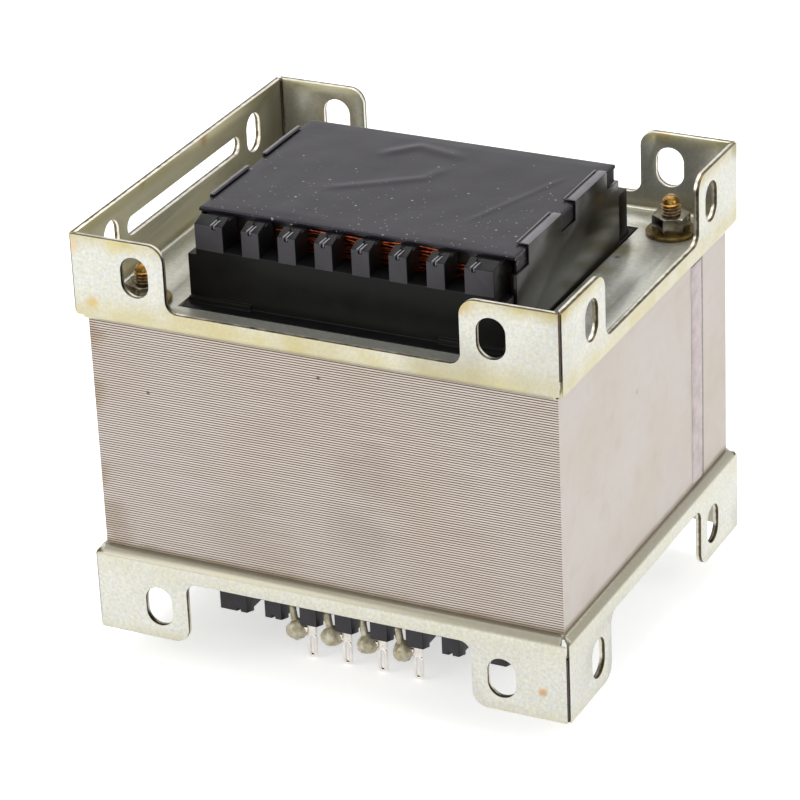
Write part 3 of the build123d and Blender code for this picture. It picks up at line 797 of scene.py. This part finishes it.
def shrouds():
    """The sheets beside the coil. Two strips of each are folded over the film: on the right they lie on
    it with a raised inner edge, on the left they are turned down beside it."""
    lip_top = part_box("shroud_upper_right")[1].z
    lip_bottom = lip_top - 0.6 * MM
    for node, side in (("shroud_upper_left", -1), ("shroud_upper_right", 1)):
        shape = merged_copy(node)
        # The CAD's lips are sunk under the strips drawn below, on the left beside the film
        for vert in shape.verts:
            if side < 0 and vert.co.z > lip_bottom and abs(vert.co.x) < 38.6 * MM:
                vert.co.x = -39.9 * MM
            if vert.co.z > lip_top - 0.1 * MM:
                vert.co.z -= 0.25 * MM
        soften(shape, 0.1 * MM)
        place(node + "_folded", shape, "black_sheet", [node])

    strip_low = lip_top - 0.32 * MM
    strip_length = 18.3
    strips = []
    for side, start in [(side, start) for side in (-1, 1) for start in (-22.4, 4.1)]:
        start_y, end_y = start * MM, (start + strip_length) * MM
        near, far = (39.1 * MM, 41.1 * MM) if side > 0 else (-41.1 * MM, -40.2 * MM)
        band = brick((near, start_y, strip_low), (far, end_y, lip_top), 0.1 * MM)
        if side > 0:
            strips.append(brick((37.95 * MM, start_y, strip_low), (38.35 * MM, end_y, lip_top), 0.12 * MM))
        divided(band, 1, 20)
        for vert in band.verts:
            vert.co.z += 0.08 * MM * noise.noise(Vector((side, vert.co.y / (4 * MM), start)))
            vert.co.z -= 0.09 * max(0.0, abs(vert.co.x) - 40.4 * MM)
        bmesh.ops.recalc_face_normals(band, faces=band.faces)
        strips.append(band)
    place("folded_strips", joined(strips), "black_sheet", finish=sheet_painted_paler, smooth_angle=60)


def tube(points, radius, steps=12):
    """A round wire along a smooth line through points, closed at both ends."""
    curve = bpy.data.curves.new("wire", "CURVE")
    curve.dimensions = "3D"
    spline = curve.splines.new("NURBS")
    spline.points.add(len(points) - 1)
    for target, spot in zip(spline.points, points):
        target.co = (*spot, 1.0)
    spline.order_u = 4
    spline.use_endpoint_u = True
    spline.resolution_u = steps
    curve.bevel_depth = radius
    curve.bevel_resolution = 2
    curve.use_fill_caps = True
    holder = bpy.data.objects.new("wire", curve)
    mesh = bpy.data.meshes.new_from_object(holder)
    shape = bmesh.new()
    shape.from_mesh(mesh)
    bmesh.ops.remove_doubles(shape, verts=shape.verts, dist=0.005 * MM)
    bmesh.ops.recalc_face_normals(shape, faces=shape.faces)
    bpy.data.objects.remove(holder)
    bpy.data.curves.remove(curve)
    bpy.data.meshes.remove(mesh)
    return shape


def strands():
    """Turns of wire across the end of the coil, seen through the gaps of the upper comb."""
    coil_end = -28.3 * MM
    lowest, spacing, radius = core_top + 15.2 * MM, 0.7 * MM, 0.36 * MM
    wires = []
    for index in range(9):
        level = lowest + index * spacing
        first = chance.uniform(-22, -2)
        last = chance.uniform(20, 35)
        tilt = chance.uniform(-0.9, 0.9) * MM
        points = []
        for share in [step / 7 for step in range(8)]:
            y = coil_end + chance.uniform(-0.3, 0.15) * MM
            z = level + tilt * (share - 0.5) + chance.uniform(-0.5, 0.5) * MM
            points.append(((first + (last - first) * share) * MM, y, z))
        wires.append(tube(points, radius, 5))
    place("coil_strands", joined(wires), "copper", smooth_angle=60)


def tinned_tag(number, centre):
    """A flat tag with a long eye, a stem and a lug on its left."""
    half = 1.2 * MM
    hole = 0.5 * MM
    eye_low, eye_high = 1.3 * MM, 5.6 * MM
    lug_low, lug_high = 6.7 * MM, 8.1 * MM
    edge = 0.12 * MM
    thick = tag_high.y - tag_low.y
    ring = bmesh.new()
    outer, inner = [], []
    for base, turns in ((eye_low, range(180, 361, 15)), (eye_high, range(0, 181, 15))):
        for turn in turns:
            across, along = math.cos(math.radians(turn)), math.sin(math.radians(turn))
            outer.append(ring.verts.new((half * across, 0, base + half * along)))
            inner.append(ring.verts.new((hole * across, 0, base + hole * along)))
    loops = [[ring.edges.new((loop[k - 1], loop[k])) for k in range(len(loop))]
             for loop in (outer, inner)]
    bmesh.ops.bridge_loops(ring, edges=loops[0] + loops[1])
    bmesh.ops.solidify(ring, geom=ring.faces[:], thickness=thick)
    bmesh.ops.recalc_face_normals(ring, faces=ring.faces)
    sharp = [item for item in ring.edges if item.calc_face_angle(0) > math.radians(50)]
    rounded(ring, sharp, 0.16 * MM)
    depth = [vert.co.y for vert in ring.verts]
    bmesh.ops.translate(ring, verts=ring.verts, vec=(0, -(min(depth) + max(depth)) / 2, 0))
    stem = brick((-half, -thick / 2, eye_high + 0.9 * MM), (half, thick / 2, tag_high.z), edge)
    lug = brick((0.6 * MM - lead_offset, -thick / 2, lug_low), (0.1 * MM - half, thick / 2, lug_high), edge)
    tag = joined([ring, stem, lug])
    bmesh.ops.translate(tag, verts=tag.verts, vec=(centre, tag_y, 0))
    place("tinned_tag_%d" % number, tag, "tinned_brass", ["solder_tag_%d" % number], smooth_angle=45)


def solder_blob(number):
    """A lumpy drop of solder, drawn in towards its top."""
    low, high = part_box("solder_joint_%d" % number)
    radius = (high.x - low.x) / 2
    drop = bmesh.new()
    bmesh.ops.create_icosphere(drop, subdivisions=4, radius=1.0)
    for vert in drop.verts:
        lumps = noise.noise(vert.co * 1.3 + Vector((number * 5.0, 0, 0)))
        lumps += 0.4 * noise.noise(vert.co * 3.1 + Vector((0, number * 3.0, 0)))
        neck = max(0.0, vert.co.z) ** 2 * 0.35
        vert.co *= radius * (1.1 + 0.16 * lumps)
        vert.co.x *= 1.0 - neck
        vert.co.z *= 1.0 + 0.25 * neck
    bmesh.ops.translate(drop, verts=drop.verts, vec=(low + high) / 2)
    place("solder_blob_%d" % number, drop, "solder", ["solder_joint_%d" % number], smooth_angle=80)


def bent_lead(number, x):
    """A winding's end, bent down from under the coil to its tag's lug."""
    wire = tube([(x - 1.6 * MM, -28.1 * MM, 13.4 * MM), (x - 1.7 * MM, -31.2 * MM, 13.8 * MM),
                 (x - 1.5 * MM, -33.2 * MM, 12.9 * MM), (x - 0.9 * MM, tag_y, 11.0 * MM),
                 (x - 0.1 * MM, tag_y, 7.6 * MM)], 0.95 * MM)
    for vert in wire.verts:
        swell = 1 + 0.2 * noise.noise(vert.co / (1.6 * MM) + Vector((number, 0, 0)))
        vert.co.x = x + (vert.co.x - x) * swell
    place("bent_lead_%d" % number, wire, "solder", ["lead_%d" % number], smooth_angle=60)


end_frames()
varnish_in_corners()
core_sheets()
weld_beads()
clamp_bolts()
washers_and_nuts()
bobbin_and_ribs()
cover_film()
shrouds()
strands()
for tag_number, tag_middle in enumerate(tag_places, 1):
    tinned_tag(tag_number, tag_middle)
    solder_blob(tag_number)
    bent_lead(tag_number, tag_middle - lead_offset)


def floor_and_light():
    """A pale floor, a white surround and soft studio lamps."""
    ground = bmesh.new()
    bmesh.ops.create_grid(ground, x_segments=1, y_segments=1, size=3.0)
    bmesh.ops.translate(ground, verts=ground.verts, vec=(0, 0, -0.2 * MM))
    mesh = bpy.data.meshes.new("floor")
    ground.to_mesh(mesh)
    ground.free()
    floor = bpy.data.objects.new("floor", mesh)
    bpy.context.scene.collection.objects.link(floor)

    # Matt paper, with a glow that only the camera and mirroring surfaces see
    paper = bpy.data.materials.new("floor_paper")
    mesh.materials.append(paper)
    tree = cleared(paper)
    path = add(tree, "LightPath").outputs
    seen = add(tree, "Math", (path["Is Camera Ray"], path["Is Glossy Ray"]), operation="MAXIMUM")
    strength = add(tree, "Math", (seen, 0.6), operation="MULTIPLY")
    glow = add(tree, "Emission", ("#FFFFFF", strength))
    matt = add(tree, "BsdfDiffuse", ("#F4F4F2",))
    add(tree, "OutputMaterial", (add(tree, "AddShader", (matt, glow)),))

    # The surround lights the object at half the strength with which it is seen
    world = bpy.data.worlds.new("studio")
    bpy.context.scene.world = world
    tree = cleared(world)
    path = add(tree, "LightPath").outputs
    seen = add(tree, "Math", (path["Is Camera Ray"], path["Is Glossy Ray"]), operation="MAXIMUM")
    strength = add(tree, "MapRange", (seen, 0, 1, 0.5, 1))
    add(tree, "OutputWorld", (add(tree, "Background", ("#FFFFFF", strength)),))

    # Name, place and size in metres, power in watts
    lamps = (("key_right", (1.02, -0.22, 0.62), 0.6, 3.4), ("fill_left", (-0.49, -0.65, 0.42), 0.52, 1.88),
             ("top", (-0.1, 0.25, 1.1), 0.9, 5.0))
    for name, spot, size, power in lamps:
        lamp = bpy.data.lights.new(name, "AREA")
        lamp.size = size
        lamp.energy = power
        holder = bpy.data.objects.new(name, lamp)
        bpy.context.scene.collection.objects.link(holder)
        holder.location = spot
        aim = Vector((0, 0, core_middle)) - Vector(spot)
        holder.rotation_mode = "QUATERNION"
        holder.rotation_quaternion = aim.to_track_quat("-Z", "Y")


def camera():
    """The photograph's camera, fitted to the corners of the frames and the core."""
    azimuth, elevation, roll = (math.radians(angle) for angle in (27.1065, 26.2398, -2.5765))
    distance, right_shift, up_shift = 928.61 * MM, -4.291 * MM, -3.466 * MM
    focal_pixels, picture_width, sensor = 3848.1, 800, 36.0
    back = Vector((math.sin(azimuth) * math.cos(elevation), -math.cos(azimuth) * math.cos(elevation),
                   math.sin(elevation)))
    right = (-back).cross(UP).normalized()
    up = right.cross(-back)
    turned_right = right * math.cos(roll) + up * math.sin(roll)
    turned_up = up * math.cos(roll) - right * math.sin(roll)
    data = bpy.data.cameras.new("camera")
    data.sensor_width = sensor
    data.lens = focal_pixels * sensor / picture_width
    data.clip_start = 0.05
    data.clip_end = 20
    holder = bpy.data.objects.new("camera", data)
    bpy.context.scene.collection.objects.link(holder)
    spot = back * distance + right * right_shift + up * up_shift + Vector((0, 0, core_middle))
    turn = Matrix((turned_right, turned_up, back)).transposed().to_4x4()
    holder.matrix_world = Matrix.Translation(spot) @ turn
    bpy.context.scene.camera = holder


floor_and_light()
camera()
bpy.context.scene.view_settings.view_transform = "Standard"
